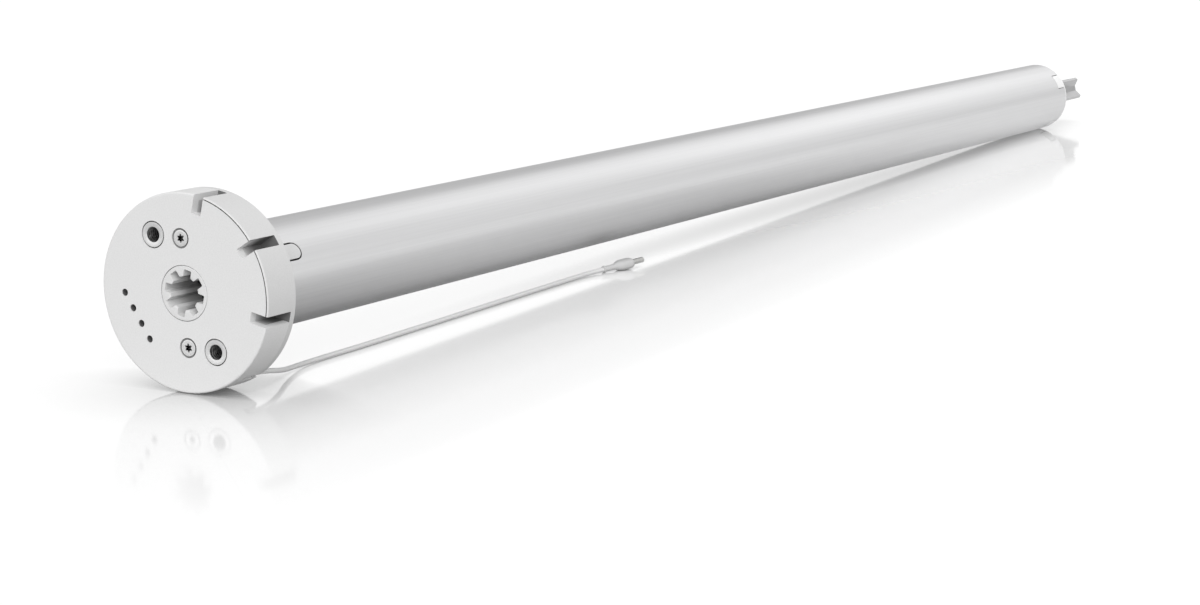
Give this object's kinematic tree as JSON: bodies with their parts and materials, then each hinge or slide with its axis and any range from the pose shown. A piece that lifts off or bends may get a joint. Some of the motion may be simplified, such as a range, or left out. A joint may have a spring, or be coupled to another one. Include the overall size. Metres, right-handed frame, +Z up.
{
  "type": "tubular roller blind motor",
  "caption": "Battery tubular motor for a roller blind: round head with star socket, long tube, geared output shaft and a short charging lead.",
  "frame": {"origin": "centre of the round head's face, on the tube's axis", "axes": "+X along the tube from the head's face to the output shaft; +Z up as the motor lies on a surface, square to X; +Y to the left looking along +X"},
  "size_m": [0.838, 0.068, 0.068],
  "materials": {
    "head_shell": "fine matt moulded light grey",
    "head_face": "fine matt moulded light grey",
    "socket_plastic": "fine matt moulded light grey",
    "insert_metal": "turned, satin",
    "screw_metal": "bright zinc plating",
    "grommet_rubber": "matt",
    "tube_metal": "satin anodised, drawn along the tube",
    "cap_plastic": "smooth white moulding",
    "bush_plastic": "smooth, oiled",
    "shaft_metal": "sintered steel, bare",
    "clip_steel": "black oxide spring steel",
    "carrier_plastic": "black moulding",
    "board_green": "solder mask",
    "parts_black": "moulded parts and can sleeves",
    "shield_tin": "tin plated shield",
    "holder_plastic": "grey moulding",
    "cell_sleeve": "shrunk film sleeve",
    "link_nickel": "nickel strip",
    "foam": "closed cell foam",
    "can_steel": "zinc plated drawn can",
    "magnet_black": "ferrite",
    "bearing_bronze": "sintered bronze",
    "bell_brown": "phenolic moulding",
    "brush_carbon": "carbon",
    "ground_steel": "ground",
    "core_steel": "laminated steel",
    "coil_copper": "enamelled wire",
    "brake_grey": "sintered iron",
    "damper_rubber": "matt",
    "plate_alloy": "die cast",
    "ring_steel": "sintered steel, oiled",
    "gear_steel": "hobbed steel, greased",
    "carrier_steel": "turned steel",
    "lead_grey": "soft jacket",
    "plug_grey": "soft moulding",
    "plug_shell": "nickel plated"
  },
  "bodies": {
    "housing": {"head_body": "head_shell", "head_cover": "head_face", "star_socket": "socket_plastic", "threaded_inserts": "insert_metal", "cover_screws": "screw_metal", "cord_grommet": "grommet_rubber", "motor_tube": "tube_metal", "end_cap": "cap_plastic", "output_bush": "bush_plastic", "board_carrier": "carrier_plastic", "circuit_board": "board_green", "board_parts": "parts_black", "radio_module": "shield_tin", "battery_holder": "holder_plastic", "battery_ends": "holder_plastic", "battery_cells": "cell_sleeve", "battery_links": "link_nickel", "foam_buffer": "foam", "motor_can": "can_steel", "motor_magnets": "magnet_black", "motor_bearings": "bearing_bronze", "brush_holder": "bell_brown", "brushes": "brush_carbon", "brake_stator": "brake_grey", "sensor_board": "board_green", "damping_rings": "damper_rubber", "gearbox_plate": "plate_alloy", "gearbox_screws": "screw_metal", "ring_gear": "ring_steel", "supply_cord": "lead_grey", "plug_body": "plug_grey", "plug_nose": "plug_shell"},
    "motor_rotor": {"motor_shaft": "ground_steel", "armature_core": "core_steel", "armature_windings": "coil_copper", "commutator": "coil_copper", "brake_rotor": "brake_grey", "encoder_magnet": "magnet_black", "sun_gear_1": "gear_steel"},
    "carrier_1": {"planet_carrier_1": "carrier_steel", "sun_gear_2": "gear_steel"},
    "carrier_2": {"planet_carrier_2": "carrier_steel", "sun_gear_3": "gear_steel"},
    "output": {"planet_carrier_3": "carrier_steel", "output_shaft": "shaft_metal", "shaft_clip": "clip_steel"},
    "planet_1a": {"planet_1_a": "gear_steel"},
    "planet_1b": {"planet_1_b": "gear_steel"},
    "planet_1c": {"planet_1_c": "gear_steel"},
    "planet_2a": {"planet_2_a": "gear_steel"},
    "planet_2b": {"planet_2_b": "gear_steel"},
    "planet_2c": {"planet_2_c": "gear_steel"},
    "planet_3a": {"planet_3_a": "gear_steel"},
    "planet_3b": {"planet_3_b": "gear_steel"},
    "planet_3c": {"planet_3_c": "gear_steel"}
  },
  "joints": [
    {"name": "motor_spin", "type": "hinge", "parent": "housing", "child": "motor_rotor", "pos_m": [0.65, 0, 0], "axis": [1, 0, 0], "continuous": true},
    {"name": "carrier_1_turn", "type": "hinge", "parent": "housing", "child": "carrier_1", "pos_m": [0.708, 0, 0], "axis": [1, 0, 0], "continuous": true},
    {"name": "carrier_2_turn", "type": "hinge", "parent": "housing", "child": "carrier_2", "pos_m": [0.727, 0, 0], "axis": [1, 0, 0], "continuous": true},
    {"name": "output_turn", "type": "hinge", "parent": "housing", "child": "output", "pos_m": [0.79, 0, 0], "axis": [1, 0, 0], "continuous": true},
    {"name": "planet_1a_turn", "type": "hinge", "parent": "carrier_1", "child": "planet_1a", "pos_m": [0.7006, -0.0049, -0.00755], "axis": [1, 0, 0], "continuous": true},
    {"name": "planet_1b_turn", "type": "hinge", "parent": "carrier_1", "child": "planet_1b", "pos_m": [0.7006, 0.00899, -0.00047], "axis": [1, 0, 0], "continuous": true},
    {"name": "planet_1c_turn", "type": "hinge", "parent": "carrier_1", "child": "planet_1c", "pos_m": [0.7006, -0.00409, 0.00802], "axis": [1, 0, 0], "continuous": true},
    {"name": "planet_2a_turn", "type": "hinge", "parent": "carrier_2", "child": "planet_2a", "pos_m": [0.7174, -0.0049, -0.00755], "axis": [1, 0, 0], "continuous": true},
    {"name": "planet_2b_turn", "type": "hinge", "parent": "carrier_2", "child": "planet_2b", "pos_m": [0.7174, 0.00899, -0.00047], "axis": [1, 0, 0], "continuous": true},
    {"name": "planet_2c_turn", "type": "hinge", "parent": "carrier_2", "child": "planet_2c", "pos_m": [0.7174, -0.00409, 0.00802], "axis": [1, 0, 0], "continuous": true},
    {"name": "planet_3a_turn", "type": "hinge", "parent": "output", "child": "planet_3a", "pos_m": [0.7402, -0.0049, -0.00755], "axis": [1, 0, 0], "continuous": true},
    {"name": "planet_3b_turn", "type": "hinge", "parent": "output", "child": "planet_3b", "pos_m": [0.7402, 0.00899, -0.00047], "axis": [1, 0, 0], "continuous": true},
    {"name": "planet_3c_turn", "type": "hinge", "parent": "output", "child": "planet_3c", "pos_m": [0.7402, -0.00409, 0.00802], "axis": [1, 0, 0], "continuous": true}
  ],
  "couplings": [
    {"joint": "carrier_1_turn", "follows": "motor_spin", "ratio": 0.2},
    {"joint": "carrier_2_turn", "follows": "motor_spin", "ratio": 0.04},
    {"joint": "output_turn", "follows": "motor_spin", "ratio": 0.008},
    {"joint": "planet_1a_turn", "follows": "motor_spin", "ratio": -0.53333},
    {"joint": "planet_1b_turn", "follows": "motor_spin", "ratio": -0.53333},
    {"joint": "planet_1c_turn", "follows": "motor_spin", "ratio": -0.53333},
    {"joint": "planet_2a_turn", "follows": "motor_spin", "ratio": -0.10667},
    {"joint": "planet_2b_turn", "follows": "motor_spin", "ratio": -0.10667},
    {"joint": "planet_2c_turn", "follows": "motor_spin", "ratio": -0.10667},
    {"joint": "planet_3a_turn", "follows": "motor_spin", "ratio": -0.021333},
    {"joint": "planet_3b_turn", "follows": "motor_spin", "ratio": -0.021333},
    {"joint": "planet_3c_turn", "follows": "motor_spin", "ratio": -0.021333}
  ]
}
